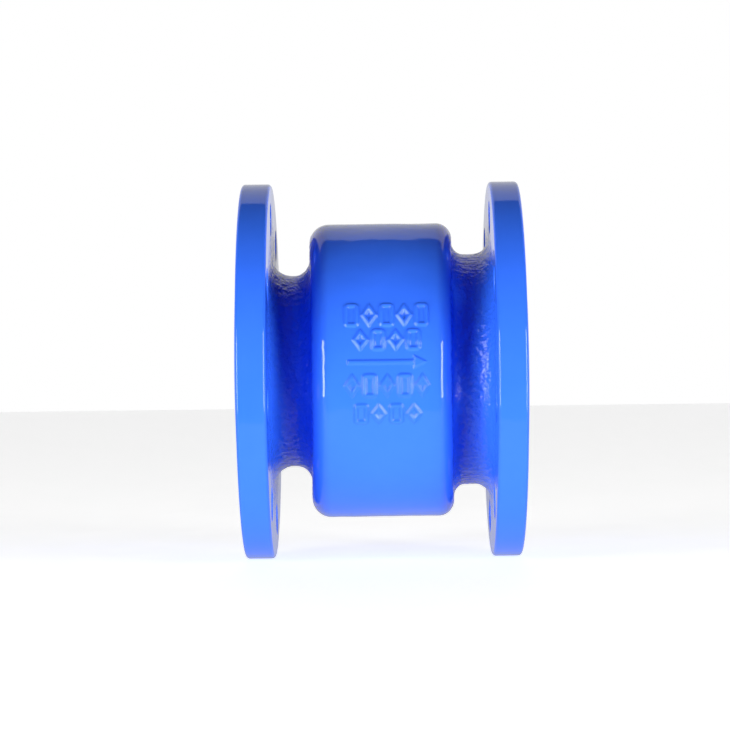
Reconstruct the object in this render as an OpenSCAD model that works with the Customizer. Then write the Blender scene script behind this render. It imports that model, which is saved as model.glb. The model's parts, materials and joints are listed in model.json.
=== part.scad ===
// Flanged, centre-guided silent check valve, nominal size 100, pressure class 16.
// Millimetres. The flow axis is X and the flow runs towards +X. Z is up.
// The origin is on the flow axis, midway between the two flange faces.
// A spring holds the disc against the seat. Flow pushes the disc towards +X by its lift.
// Profiles are drawn as [radius, place along X] and turned about X.

/* [Ports and flanges] */
// Face to face length, over both raised faces
face_to_face = 165; // [160:1:170]
// Outside diameter of each flange
flange_d = 220; // [218:1:222]
// Thickness of each flange, with its raised face
flange_t = 19; // [18:0.5:20]
// Height of each raised face
raised_t = 2; // [1:0.5:3]
// Outside diameter of each raised face
raised_d = 156; // [150:1:158]
// Diameter of the bolt circle
bolt_circle_d = 180; // [178:1:182]
// Number of bolt holes in each flange
bolt_count = 8; // [4:4:8]
// Diameter of each bolt hole
bolt_hole_d = 19; // [17:0.5:20]
// Turn of the bolt holes about the flow axis, from an even stand either side of Z, in degrees
bolt_turn = 10; // [0:1:22]
// Bore of the inlet port
port_d = 100; // [98:1:101]

/* [Casting] */
// Outside diameter of the middle chamber
chamber_d = 172; // [170:1:176]
// Outside length of the middle chamber along X
chamber_len = 83.4; // [82:0.2:85]
// Wall thickness of the chamber
wall = 8; // [7:0.5:8.5]
// Outside diameter of the inlet neck
inlet_neck_d = 112; // [112:1:114]
// Outside diameter of the outlet neck
outlet_neck_d = 135; // [134:1:136]
// Height of the raised arrow and pattern marks
mark_t = 1; // [0.6:0.1:1.2]
// Turn of the raised marks about the flow axis, from the -Y side upwards, in degrees
mark_turn = 3; // [-10:1:10]

/* [Disc and guide] */
// Travel of the disc from the seat to full open
lift = 25; // [20:1:25]
// Outside diameter of the disc
disc_d = 111; // [108:1:112]
// Bore of the seat ring
seat_d = 96; // [94:1:97]
// Diameter of the stem in its bushes
stem_d = 16; // [15:1:16]
// Radial running clearance of the stem in its bushes
stem_gap = 0.05; // [0.03:0.01:0.1]
// Number of ribs in the guide cage
rib_count = 4; // [3:1:4]
// Thickness of each rib
rib_t = 6; // [5:0.5:7]

/* [Spring] */
// Wire diameter
wire_d = 2.6; // [2.2:0.1:2.8]
// Mean diameter of the coils
coil_d = 35.6; // [35:0.2:36]
// Number of active coils
active_coils = 6; // [5:1:7]

/* [Hidden] */
$fn = 96;

// A cutter runs this far past the face it opens
over = 1;
// Clearance of a part that is pressed or screwed in and doesn't turn
snug = 0.02;

// Flanges: places along X of the raised face, rim face and back face of the outlet flange
face_x = face_to_face / 2;
rim_x = face_x - raised_t;
back_x = face_x - flange_t;
rim_r = flange_d / 2;
rim_edge = 2;

// Casting
chamber_x = chamber_len / 2;
chamber_r = chamber_d / 2;
chamber_in_r = chamber_r - wall;
chamber_in_x = chamber_x - wall;
chamber_in_edge = 8;
inlet_neck_r = inlet_neck_d / 2;
outlet_neck_r = outlet_neck_d / 2;
// Rounding of each end of the chamber, and the fillets at both ends of each neck
inlet_edge = 11;
inlet_chamber_fillet = 9;
inlet_flange_fillet = 11;
outlet_edge = 9;
outlet_chamber_fillet = 7;
outlet_flange_fillet = 10;
port_r = port_d / 2;
// Middle of the raised marks along X, and the width of their lines
mark_x = 3;
mark_stroke = 2;
// The port's straight bore ends here, and narrows to the seat
port_end_x = -56;
// Outlet: a lip that the guide cage rests against, then the bore that it slides into
lip_r = 57;
lip_end_x = 46;
cage_bore_r = 60;

// Groove and ring that hold the guide cage
ring_groove_r = 62;
ring_x = 74;
ring_t = 4;
ring_gap = 0.05;

// Seat ring
seat_x = -31;
seat_back_x = -40;
seat_r = seat_d / 2;
seat_out_r = 56.5;
seat_lip_h = 1.5;
seat_lip_r = seat_r + 3.4;
seat_cord_r = 1.3;
seat_cord_at = 53.2;
lock_r = 2;

// Disc and seal
disc_r = disc_d / 2;
seal_in_r = 42;
seal_out_r = 54;
seal_t = 6;
// The seal stands this far off the seat at rest
seal_gap = 0.05;
seal_back_x = seat_x + seal_t;
plate_r = 46;
plate_t = 4;
disc_back_x = -19;
hub_r = 14;
hub_end_x = -12;
clamp_at_r = 32;
clamp_count = 6;
screw_r = 2.5;
screw_head_r = 4.25;
screw_head_t = 5;
screw_washer_t = 1;

// Stem
stem_r = stem_d / 2;
shank_r = 6;
stem_step_x = -14;
stem_end_x = 49;
stem_tip_x = -53.5;
boss_x = -39;
nut_washer_t = 2;
nut_hex_t = 7;
nut_crown_t = 4;
nut_across = 18;
pin_r = 1.3;
pin_x = boss_x - nut_washer_t - nut_hex_t - nut_crown_t / 2;

// Guide cage
cage_hub_r = 28;
cage_front_x = 8;
cup_r = 22;
cup_floor_x = 40;
boss_r = 13;
boss_front_x = 14;
bush_r = 10.5;
bush_len = 12;
rear_bush_x = 36;
tail_x = 60;
tail_r = 18;
tail_spigot_r = 12;
tail_spigot_x = 50;
tail_bore_r = 9;
tail_bore_x = 75;
cage_ring_r = cage_bore_r - 0.1;
stop_at_r = 25;
stop_cord_r = 1.4;
stop_groove_t = 2.5;
stop_x = disc_back_x + lift + 0.3;

// Spring
spring_front_x = disc_back_x + 1.5;

// Turns a drawing in [radius, X] about the flow axis
module turned() {
    rotate([0, 90, 0]) rotate_extrude() children();
}

// A plain band of a turned profile
module band(r1, r2, x1, x2) {
    translate([r1, x1]) square([r2 - r1, x2 - x1]);
}

// Fills an inside corner at [r, x]. dr and dx point into the open space.
module fillet(r, x, radius, dr, dx) {
    difference() {
        translate([min(r, r + dr * radius), min(x, x + dx * radius)]) square(radius);
        translate([r + dr * radius, x + dx * radius]) circle(radius);
    }
}

// Cuts an outside corner at [r, x] round. dr and dx point out of the material.
module round_off(r, x, radius, dr, dx) {
    size = radius + over;
    centre = [r - dr * radius, x - dx * radius];
    difference() {
        translate([centre[0] - (dr < 0 ? size : 0), centre[1] - (dx < 0 ? size : 0)]) square(size);
        translate(centre) circle(radius);
    }
}

// A cylinder along X from x1 to x2
module rod(r, x1, x2, fn = $fn) {
    translate([x1, 0, 0]) rotate([0, 90, 0]) cylinder(r = r, h = x2 - x1, $fn = fn);
}

// Copies round the flow axis, each at the given radius. The first is at the start angle from +Z.
module around(count, radius, start = 0) {
    for (i = [0 : count - 1])
        rotate([start + i * 360 / count, 0, 0]) translate([0, 0, radius]) children();
}

// ---- Body casting ----

module casting_outside() {
    difference() {
        union() {
            band(0, raised_d / 2, -face_x, -rim_x);
            band(0, raised_d / 2, rim_x, face_x);
            band(0, rim_r, -rim_x, -back_x);
            band(0, rim_r, back_x, rim_x);
            band(0, inlet_neck_r, -back_x, -chamber_x);
            band(0, outlet_neck_r, chamber_x, back_x);
            band(0, chamber_r, -chamber_x, chamber_x);
            fillet(inlet_neck_r, -back_x, inlet_flange_fillet, 1, 1);
            fillet(inlet_neck_r, -chamber_x, inlet_chamber_fillet, 1, -1);
            fillet(outlet_neck_r, chamber_x, outlet_chamber_fillet, 1, 1);
            fillet(outlet_neck_r, back_x, outlet_flange_fillet, 1, -1);
        }
        for (side = [-1, 1]) {
            round_off(rim_r, side * rim_x, rim_edge, 1, side);
            round_off(rim_r, side * back_x, rim_edge, 1, -side);
        }
        round_off(chamber_r, -chamber_x, inlet_edge, 1, -1);
        round_off(chamber_r, chamber_x, outlet_edge, 1, 1);
    }
}

module casting_inside() {
    band(0, port_r, -face_x - over, port_end_x);
    polygon([[0, port_end_x], [port_r, port_end_x], [seat_r, seat_back_x], [0, seat_back_x]]);
    band(0, seat_out_r, seat_back_x, -chamber_in_x + over);
    difference() {
        band(0, chamber_in_r, -chamber_in_x, chamber_in_x);
        round_off(chamber_in_r, -chamber_in_x, chamber_in_edge, 1, -1);
        round_off(chamber_in_r, chamber_in_x, chamber_in_edge, 1, 1);
    }
    band(0, lip_r, chamber_in_x - over, lip_end_x);
    band(0, cage_bore_r, lip_end_x, face_x + over);
    band(0, ring_groove_r, ring_x, ring_x + ring_t + 3 * ring_gap);
}

module bolt_holes() {
    around(bolt_count, bolt_circle_d / 2, 180 / bolt_count - bolt_turn)
        for (side = [0, 1]) mirror([side, 0, 0]) rod(bolt_hole_d / 2, back_x - over, face_x + over);
}

// Flow arrow, pointing along +X, drawn about its own middle
module arrow(length, shaft, head) {
    translate([-length / 2, -shaft / 2]) square([length - head, shaft]);
    polygon([[length / 2 - head, -head / 2], [length / 2, 0], [length / 2 - head, head / 2]]);
}

// An upright frame, drawn about its own middle
module frame_mark(w, h) {
    difference() {
        square([w, h], center = true);
        square([w - 2 * mark_stroke, h - 2 * mark_stroke], center = true);
    }
}

// An upright lozenge with an open middle
module lozenge_mark(w, h) {
    difference() {
        polygon([[-w / 2, 0], [0, h / 2], [w / 2, 0], [0, -h / 2]]);
        scale(0.45) polygon([[-w / 2, 0], [0, h / 2], [w / 2, 0], [0, -h / 2]]);
    }
}

// A row of marks in which frames and lozenges take turns. first is 0 to begin with a frame.
module mark_row(count, up, h, first) {
    step = 9.8;
    w = 7.8;
    for (i = [0 : count - 1])
        translate([(i - (count - 1) / 2) * step, up])
            if ((i + first) % 2 == 0) frame_mark(w, h);
            else lozenge_mark(w + 1, h);
}

// Rows of plain geometric marks above and below the arrow, drawn in X and Z
module pattern_marks() {
    arrow(44, 2.2, 7);
    mark_row(5, 26.5, 13, 0);
    mark_row(4, 12.5, 12, 1);
    mark_row(5, -13, 13, 1);
    mark_row(4, -28.5, 11, 0);
}

module relief() {
    rotate([-mark_turn, 0, 0]) intersection() {
        translate([mark_x, 0, 0]) rotate([90, 0, 0]) linear_extrude(chamber_r + over) pattern_marks();
        rod(chamber_r + mark_t, -chamber_x, chamber_x);
    }
}

module seat_lock_cuts(r) {
    around(2, seat_out_r, 90) rod(r, seat_x - 7, 0);
}

module body_casting() {
    color("royalblue")
    difference() {
        union() {
            turned() difference() {
                casting_outside();
                casting_inside();
            }
            difference() {
                relief();
                rod(chamber_r - wall / 2, -chamber_x - over, chamber_x + over);
            }
        }
        bolt_holes();
        seat_lock_cuts(lock_r);
    }
}

// ---- Seat ----

module seat_ring() {
    out = seat_out_r - snug;
    back = seat_back_x + snug;
    color("silver")
    difference() {
        turned() difference() {
            polygon([
                [seat_r, back], [out, back], [out, seat_x - seat_lip_h],
                [seat_lip_r, seat_x - seat_lip_h], [seat_lip_r - 0.8, seat_x],
                [seat_r + 0.8, seat_x], [seat_r, seat_x - 0.8]
            ]);
            band(seat_cord_at - 1.6, seat_cord_at + 1.6, back - over, back + 2 * seat_cord_r + snug);
        }
        seat_lock_cuts(lock_r);
        // Notches for the fitting key
        around(4, seat_out_r, 45) rotate([0, 90, 0])
            translate([0, 0, seat_x - seat_lip_h - 2.5]) linear_extrude(over + 4) square([6, 5], center = true);
    }
}

module seat_o_ring() {
    color("dimgray") turned() translate([seat_cord_at, seat_back_x + seat_cord_r + snug]) circle(seat_cord_r);
}

module seat_lock_screws() {
    color("gray")
    around(2, seat_out_r, 90) difference() {
        rod(lock_r - snug, seat_x - 7, seat_x - 2.5);
        rod(1.1, seat_x - 4.5, seat_x, 6);
    }
}

// ---- Guide cage and what is fixed to it ----

module cage_hub_profile() {
    difference() {
        union() {
            band(0, cage_hub_r, cage_front_x, cup_floor_x + 4);
            polygon([[0, cup_floor_x + 4], [cage_hub_r, cup_floor_x + 4], [tail_r, tail_x], [0, tail_x]]);
        }
        round_off(cage_hub_r, cage_front_x, 3, 1, -1);
        band(boss_r, cup_r, cage_front_x - over, cup_floor_x);
        band(0, boss_r + over / 2, cage_front_x - over, boss_front_x);
        band(0, bush_r, boss_front_x - over, boss_front_x + bush_len);
        band(0, stem_r + 0.8, boss_front_x, rear_bush_x);
        band(0, bush_r, rear_bush_x, rear_bush_x + bush_len + over);
        band(0, tail_spigot_r, rear_bush_x + bush_len, tail_x + over);
        band(stop_at_r - 1.5, stop_at_r + 1.5, cage_front_x - over, cage_front_x + stop_groove_t);
    }
}

module cage_ring_profile() {
    polygon([
        [56, lip_end_x + ring_gap], [cage_ring_r - 1, lip_end_x + ring_gap],
        [cage_ring_r, lip_end_x + 1], [cage_ring_r, ring_x - 1],
        [cage_ring_r - 1, ring_x], [50.6, ring_x], [50, ring_x - 0.6], [50, ring_x - 8]
    ]);
}

// One rib, drawn in X and radius, from the hub out to the ring
module cage_rib() {
    rotate([90, 0, 0]) translate([0, 0, -rib_t / 2]) linear_extrude(rib_t)
        polygon([
            [16, cage_hub_r - 3], [20, cage_hub_r + 2], [lip_end_x - 3, lip_r - 3], [lip_end_x + 2, lip_r + 1],
            [ring_x - 5, lip_r - 1], [ring_x - 3, 51], [tail_x - 1, tail_r - 3]
        ]);
}

module guide_cage() {
    color("royalblue")
    difference() {
        union() {
            turned() cage_hub_profile();
            turned() cage_ring_profile();
            around(rib_count, 0, 180 / rib_count) difference() {
                cage_rib();
                rod(cage_hub_r - 2.5, 0, cup_floor_x + 2);
                rod(14.5, cup_floor_x, tail_x);
            }
        }
        translate([tail_x - 5, 0, 0]) cylinder(r = lock_r, h = cage_hub_r);
    }
}

// An inside retaining ring with two lugs, its gap at the bottom
module cage_retaining_ring() {
    lug_at = 56;
    lug_angle = 9;
    color("slategray")
    translate([ring_x + ring_gap, 0, 0]) rotate([0, 90, 0]) linear_extrude(ring_t)
        difference() {
            union() {
                difference() {
                    circle(ring_groove_r - 0.2);
                    translate([-1.2, 0]) circle(55.4);
                    // Gap between the two lugs
                    polygon([[0, 0], [80, 80 * tan(lug_angle)], [80, -80 * tan(lug_angle)]]);
                }
                for (side = [-1, 1]) rotate(side * (lug_angle + 3)) translate([lug_at, 0]) circle(4);
            }
            for (side = [-1, 1]) rotate(side * (lug_angle + 3)) translate([lug_at, 0]) circle(1.6);
        }
}

module bush(x) {
    color("goldenrod")
    turned() difference() {
        band(stem_r + stem_gap, bush_r - snug, x, x + bush_len);
        round_off(bush_r - snug, x, 0.8, 1, -1);
    }
}

module front_bush() bush(boss_front_x);
module rear_bush() bush(rear_bush_x);

// A rubber ring with a rounded front, that the disc comes up to at full lift
module stop_ring() {
    base_x = cage_front_x + stop_groove_t - snug;
    color("dimgray")
    turned() {
        band(stop_at_r - stop_cord_r, stop_at_r + stop_cord_r, stop_x + stop_cord_r, base_x);
        translate([stop_at_r, stop_x + stop_cord_r]) circle(stop_cord_r);
    }
}

module tail_cap() {
    flats = 15;
    color("silver")
    difference() {
        union() {
            rod(tail_spigot_r - snug, tail_spigot_x, tail_x);
            intersection() {
                translate([tail_x, 0, 0]) sphere(tail_r);
                translate([tail_x, -flats, -tail_r]) cube([tail_r, 2 * flats, 2 * tail_r]);
            }
        }
        rod(tail_bore_r, tail_spigot_x - over, tail_bore_x);
        rod(2, tail_bore_x - over, tail_x + tail_r + over);
    }
}

module tail_cap_lock_screw() {
    color("gray")
    translate([tail_x - 5, 0, 0]) difference() {
        translate([0, 0, tail_spigot_r + 0.1]) cylinder(r = lock_r - snug, h = 5);
        translate([0, 0, tail_spigot_r + 3.1]) cylinder(r = 1.1, h = 5, $fn = 6);
    }
}

// ---- Return spring ----

// How far along X the wire's centre is after a number of turns
function wire_x(turns, first, pitch) =
    first + 1.06 * wire_d * (min(turns, 1) + max(0, turns - 1 - active_coils))
    + pitch * min(max(turns - 1, 0), active_coils);

// A helix of round wire with closed, ground ends
module return_spring() {
    steps = 30;
    sides = 10;
    turns = active_coils + 2;
    x1 = spring_front_x + snug;
    x2 = cup_floor_x - snug;
    sunk = 0.3 * wire_d;
    pitch = (x2 - x1 - 2 * sunk - 2.12 * wire_d) / active_coils;
    rings = turns * steps;
    points = [
        for (i = [0 : rings], k = [0 : sides - 1])
            let (
                a = i * 360 / steps,
                x = wire_x(i / steps, x1 + sunk, pitch) + wire_d / 2 * sin(k * 360 / sides),
                r = coil_d / 2 + wire_d / 2 * cos(k * 360 / sides)
            ) [min(max(x, x1), x2), r * sin(a), r * cos(a)]
    ];
    faces = concat(
        [[for (k = [0 : sides - 1]) k]],
        [for (i = [0 : rings - 1], k = [0 : sides - 1])
            [i * sides + k, (i + 1) * sides + k, (i + 1) * sides + (k + 1) % sides, i * sides + (k + 1) % sides]],
        [[for (k = [sides - 1 : -1 : 0]) rings * sides + k]]
    );
    color("lightsteelblue") polyhedron(points, faces);
}

module spring_seat_washer() {
    color("silver") turned() band(hub_r + 0.06, 21.5, disc_back_x + snug, spring_front_x);
}

// ---- Disc, stem and what is clamped to them ----

module clamp_holes(r, x1, x2) {
    around(clamp_count, clamp_at_r, 30) rod(r, x1, x2);
}

module valve_disc() {
    color("gainsboro")
    difference() {
        turned() difference() {
            polygon([
                [shank_r + snug, seat_x + 2.4], [9.4, seat_x + 2.4], [9.4, seat_x],
                [seal_in_r, seat_x], [seal_in_r, seal_back_x],
                [seal_out_r, seal_back_x], [seal_out_r, seat_x + 2.5], [disc_r - 0.5, seat_x + 2.5],
                [disc_r, seat_x + 3], [disc_r, disc_back_x - 4], [disc_r - 1, disc_back_x - 3],
                [26, disc_back_x], [hub_r, disc_back_x], [hub_r, hub_end_x - 1], [hub_r - 1, hub_end_x],
                [stem_r + snug, hub_end_x], [stem_r + snug, stem_step_x], [shank_r + snug, stem_step_x]
            ]);
        }
        clamp_holes(screw_r, seat_x - over, seat_x + 9);
    }
}

module disc_seal() {
    color("dimgray") turned() band(seal_in_r + snug, seal_out_r - snug, seat_x + seal_gap, seal_back_x - snug);
}

module seal_clamp_plate() {
    front = seat_x - plate_t;
    color("gainsboro")
    difference() {
        turned() polygon([
            [shank_r + snug, seat_x - snug], [plate_r, seat_x - snug], [plate_r, front + 1.5],
            [plate_r - 1.5, front], [22, front], [17, boss_x], [shank_r + snug, boss_x]
        ]);
        clamp_holes(screw_r + 0.25, front - over, seat_x + over);
    }
}

module clamp_screws() {
    under = seat_x - plate_t - screw_washer_t;
    color("silver")
    around(clamp_count, clamp_at_r, 30) difference() {
        union() {
            rod(screw_head_r, under - screw_head_t, under);
            rod(screw_r - snug, under, seat_x + 8);
        }
        rod(2.3, under - screw_head_t - over, under - 2.2, 6);
    }
}

module clamp_screw_washers() {
    x = seat_x - plate_t;
    color("gray")
    around(clamp_count, clamp_at_r, 30) difference() {
        rod(4.6, x - screw_washer_t + snug, x - snug);
        rod(screw_r + 0.1, x - 2 * screw_washer_t, x + over);
    }
}

module stem() {
    thread_depth = 0.5;
    pitch = 1.75;
    turns = 9;
    color("silver")
    difference() {
        turned() difference() {
            union() {
                band(0, shank_r, stem_tip_x, stem_step_x);
                band(0, stem_r, stem_step_x, stem_end_x);
            }
            // Rounds of the thread under and past the nut
            for (i = [0 : turns - 1])
                translate([shank_r, stem_tip_x + 1 + i * pitch])
                    polygon([[-thread_depth, 0], [over, -over], [over, over]]);
            polygon([
                [stem_r - 1, stem_end_x], [stem_r, stem_end_x - 1],
                [stem_r + over, stem_end_x - 1], [stem_r + over, stem_end_x + over], [stem_r - 1, stem_end_x + over]
            ]);
        }
        translate([pin_x, 0, -2 * shank_r]) cylinder(r = pin_r + 0.2, h = 4 * shank_r);
    }
}

module stem_o_ring() {
    cord_r = 1.15;
    color("dimgray") turned() translate([shank_r + cord_r + 0.1, seat_x + cord_r + 0.04]) circle(cord_r);
}

module stem_nut() {
    base = boss_x - nut_washer_t;
    top = base - nut_hex_t - nut_crown_t;
    color("silver")
    difference() {
        union() {
            rod(nut_across / 2 / cos(30), base - nut_hex_t, base, 6);
            rod(nut_across / 2 - 0.6, top, base - nut_hex_t);
        }
        rod(shank_r + snug, top - over, base + over);
        for (i = [0 : 2]) rotate([i * 60, 0, 0])
            translate([top - over, -1.7, -nut_across]) cube([nut_crown_t + over, 3.4, 2 * nut_across]);
    }
}

module stem_nut_washer() {
    color("gray") turned() band(shank_r + 0.3, 12, boss_x - nut_washer_t + snug, boss_x - snug);
}

// Split pin: an eye above the nut, and a stem that ends in two legs bent along the nut
module split_pin() {
    reach = nut_across / 2 + 1.4;
    eye_r = 2.6;
    color("gray")
    translate([pin_x, 0, 0]) {
        translate([0, 0, -reach]) cylinder(r = pin_r, h = 2 * reach);
        translate([0, 0, reach + eye_r]) rotate([90, 0, 90]) rotate_extrude()
            translate([eye_r, 0]) circle(pin_r * 0.75);
        for (side = [-1, 1])
            translate([0, 0, -reach + pin_r * 0.7]) rotate([side * -115, 0, 0]) cylinder(r = pin_r * 0.7, h = 6);
    }
}

body_casting();
seat_ring();
seat_o_ring();
seat_lock_screws();
guide_cage();
cage_retaining_ring();
front_bush();
rear_bush();
stop_ring();
tail_cap();
tail_cap_lock_screw();
return_spring();
spring_seat_washer();
valve_disc();
disc_seal();
seal_clamp_plate();
clamp_screws();
clamp_screw_washers();
stem();
stem_o_ring();
stem_nut();
stem_nut_washer();
split_pin();
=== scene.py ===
import json
import math

import bmesh
import bpy
import numpy as np
from mathutils import Matrix, Vector, noise

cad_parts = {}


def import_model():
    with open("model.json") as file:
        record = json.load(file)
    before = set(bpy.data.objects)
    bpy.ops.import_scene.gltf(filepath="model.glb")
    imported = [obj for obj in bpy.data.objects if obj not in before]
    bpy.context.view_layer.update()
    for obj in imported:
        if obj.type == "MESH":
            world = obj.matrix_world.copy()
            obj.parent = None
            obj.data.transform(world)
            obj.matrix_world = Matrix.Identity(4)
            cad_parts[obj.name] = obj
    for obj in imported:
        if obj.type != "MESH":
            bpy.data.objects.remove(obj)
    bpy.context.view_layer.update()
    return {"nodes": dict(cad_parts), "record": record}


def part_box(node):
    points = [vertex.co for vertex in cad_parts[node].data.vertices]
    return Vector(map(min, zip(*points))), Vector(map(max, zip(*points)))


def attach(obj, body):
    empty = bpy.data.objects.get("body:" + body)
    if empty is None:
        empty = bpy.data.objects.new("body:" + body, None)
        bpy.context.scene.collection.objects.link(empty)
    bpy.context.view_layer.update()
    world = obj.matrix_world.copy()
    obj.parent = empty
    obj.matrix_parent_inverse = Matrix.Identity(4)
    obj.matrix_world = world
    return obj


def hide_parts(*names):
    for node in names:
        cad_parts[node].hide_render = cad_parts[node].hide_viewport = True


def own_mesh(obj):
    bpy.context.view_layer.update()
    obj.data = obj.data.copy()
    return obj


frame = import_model()

# Metres throughout. X is the flow axis, and the origin is on it, midway between the flange faces.
# Outlines are lists of corners (x, r, radius of the corner's rounding) in millimetres.
MM = 0.001
MOUNTS = {m["name"]: m for m in frame["record"]["mounts"]}
BOLTS = MOUNTS["outlet_bolts"]["dims"]

# ---- Driving sizes of the casting, in millimetres ----
FACE_X = MOUNTS["outlet_face"]["pos_m"][0] / MM
RIM_X = MOUNTS["outlet_bolts"]["pos_m"][0] / MM
RIM_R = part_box("body_casting")[1][2] / MM
RIM_T = 17.0
BACK_X = RIM_X - RIM_T
RAISED_R = 78.0
CHAMBER_X = 41.7
CHAMBER_R = 86.0
INLET_NECK_R = 56.0
OUTLET_NECK_R = 67.5
# Roundings of the chamber's two outer edges and of the corners at both ends of each neck
INLET_EDGE = 11.0
INLET_CHAMBER_FILLET = 9.0
INLET_FLANGE_FILLET = 11.0
OUTLET_EDGE = 9.0
OUTLET_CHAMBER_FILLET = 7.0
OUTLET_FLANGE_FILLET = 10.0
PORT_R = MOUNTS["inlet_port"]["dims"]["r_mm"]
BOLT_TURN = 10.0
MARK_TURN = 3.0
MARK_X = 3.0
MARK_T = 1.0
MARK_STROKE = 2.0
# Place along X of the split pin through the stem
PIN_X = -50.0
# Distance from the axis of the seat's lock screws, half in the seat and half in the casting
LOCK_R = 56.5
# The clamp screws' circle, their number and the first one's turn in degrees
CLAMP_R = 32
CLAMP_COUNT = 6
CLAMP_TURN = 30


# ---- Meshes ----

def rounded(corners, arc_step):
    """Points (x, r) of an outline, with every corner turned into an arc."""
    points = []
    for i, (x, r, radius) in enumerate(corners):
        here = Vector((x, r))
        into = (here - Vector(corners[i - 1][:2])).normalized()
        out = (Vector(corners[(i + 1) % len(corners)][:2]) - here).normalized()
        turn = math.atan2(into.x * out.y - into.y * out.x, into.dot(out))
        if radius == 0 or abs(turn) < 1e-4:
            points.append(tuple(here))
            continue
        side = math.copysign(1.0, turn)
        start = here - into * radius * math.tan(abs(turn) / 2)
        centre = start + Vector((-into.y, into.x)) * radius * side
        steps = max(4, math.ceil(radius * abs(turn) / arc_step))
        for k in range(steps + 1):
            spoke = Matrix.Rotation(turn * k / steps, 2) @ (start - centre)
            points.append(tuple(centre + spoke))
    return points


def divided(points, step_at):
    """The closed outline with its long stretches divided, by a step that depends on the place."""
    result = []
    for i, (x, r) in enumerate(points):
        x2, r2 = points[(i + 1) % len(points)]
        count = max(1, math.ceil(math.hypot(x2 - x, r2 - r) / step_at((x + x2) / 2, (r + r2) / 2)))
        result += [(x + (x2 - x) * k / count, r + (r2 - r) * k / count) for k in range(count)]
    return result


def new_piece(name, verts, faces, smooth=True):
    mesh = bpy.data.meshes.new(name)
    mesh.from_pydata([tuple(v) for v in verts], [], faces)
    mesh.validate()
    mesh.update()
    mesh.polygons.foreach_set("use_smooth", [smooth] * len(mesh.polygons))
    piece = bpy.data.objects.new(name, mesh)
    bpy.context.scene.collection.objects.link(piece)
    return piece


def turned(points, angles, push=None):
    """Vertices and faces of a clockwise outline (x, r) turned about X. The angle runs from -Y towards +Z.
    An outline that starts and ends on the axis is left open there and gets a pole at each end."""
    poled = points[0][1] == 0
    outline = np.array(points, float)
    ahead = np.roll(outline, -1, axis=0) - np.roll(outline, 1, axis=0)
    ahead /= np.maximum(np.linalg.norm(ahead, axis=1), 1e-9)[:, None]
    normal = np.stack([-ahead[:, 1], ahead[:, 0]], axis=1)
    x = np.repeat(outline[:, 0:1], len(angles), axis=1)
    r = np.repeat(outline[:, 1:2], len(angles), axis=1)
    angle = np.repeat(np.array(angles)[None, :], len(points), axis=0)
    if push is not None:
        off, along = push(x, r, angle)
        x, r = x + normal[:, 0:1] * off + along, r + normal[:, 1:2] * off
    verts = np.stack([x, -r * np.cos(angle), r * np.sin(angle)], axis=-1).reshape(-1, 3) * MM
    rows, columns = len(points), len(angles)
    faces = []
    for i in range(rows - 1 if poled else rows):
        for j in range(columns):
            i2, j2 = (i + 1) % rows, (j + 1) % columns
            corners = [i * columns + j, i2 * columns + j, i2 * columns + j2, i * columns + j2]
            if poled and i == 0:
                corners = [0, corners[1], corners[2]]
            elif poled and i2 == rows - 1:
                corners = [corners[0], i2 * columns, corners[3]]
            faces.append(tuple(corners))
    return verts, faces


def without_loose(piece):
    """Deletes the vertices that no face uses."""
    shape = bmesh.new()
    shape.from_mesh(piece.data)
    bmesh.ops.delete(shape, geom=[v for v in shape.verts if not v.link_faces], context="VERTS")
    shape.to_mesh(piece.data)
    shape.free()
    return piece


def lathed(name, corners, columns=128, arc_step=0.2):
    """A turned piece from corners (x, r, rounding)."""
    return without_loose(new_piece(name, *turned(rounded(corners, arc_step), even_angles(columns))))


def applied(piece):
    """Applies the piece's modifiers to its mesh."""
    depsgraph = bpy.context.evaluated_depsgraph_get()
    mesh = bpy.data.meshes.new_from_object(piece.evaluated_get(depsgraph))
    old = piece.data
    piece.modifiers.clear()
    piece.data = mesh
    bpy.data.meshes.remove(old)
    return piece


def even_angles(count):
    return [math.tau * k / count for k in range(count)]


def joined(name, pieces):
    """One piece of several meshes. The pieces are used up."""
    shape = bmesh.new()
    for piece in pieces:
        piece.data.transform(piece.matrix_world)
        shape.from_mesh(piece.data)
        bpy.data.objects.remove(piece)
    mesh = bpy.data.meshes.new(name)
    shape.to_mesh(mesh)
    shape.free()
    whole = bpy.data.objects.new(name, mesh)
    bpy.context.scene.collection.objects.link(whole)
    return whole


def copies_around(name, piece, count, radius, start):
    """Copies of a piece made on the axis, set round the flow axis.
    The start is in degrees from +Z towards -Y."""
    rounds = []
    for k in range(count):
        turn = math.radians(start + 360 * k / count)
        twin = bpy.data.objects.new(name, piece.data.copy())
        twin.matrix_world = Matrix.Rotation(turn, 4, "X") @ Matrix.Translation((0, 0, radius * MM))
        bpy.context.scene.collection.objects.link(twin)
        rounds.append(twin)
    bpy.context.view_layer.update()
    bpy.data.objects.remove(piece)
    return joined(name, rounds)


def cut(piece, *cutters, operation="DIFFERENCE"):
    """Cuts the piece with the cutters, which are used up, and shades its flat faces flat."""
    for cutter in cutters:
        step = piece.modifiers.new("cut", "BOOLEAN")
        step.operation, step.object, step.solver = operation, cutter, "EXACT"
    applied(piece)
    for cutter in cutters:
        bpy.data.objects.remove(cutter)
    piece.data.polygons.foreach_set("use_smooth", [True] * len(piece.data.polygons))
    return evenly_shaded(piece)


def evenly_shaded(piece, sharp_past=40):
    """Smooth shading in which large flat faces stay flat and edges past an angle in degrees stay sharp."""
    shape = bmesh.new()
    shape.from_mesh(piece.data)
    for edge in shape.edges:
        edge.smooth = len(edge.link_faces) != 2 or edge.calc_face_angle(0) < math.radians(sharp_past)
    shape.to_mesh(piece.data)
    shape.free()
    piece.modifiers.new("even_shading", "WEIGHTED_NORMAL").keep_sharp = True
    return applied(piece)


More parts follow.
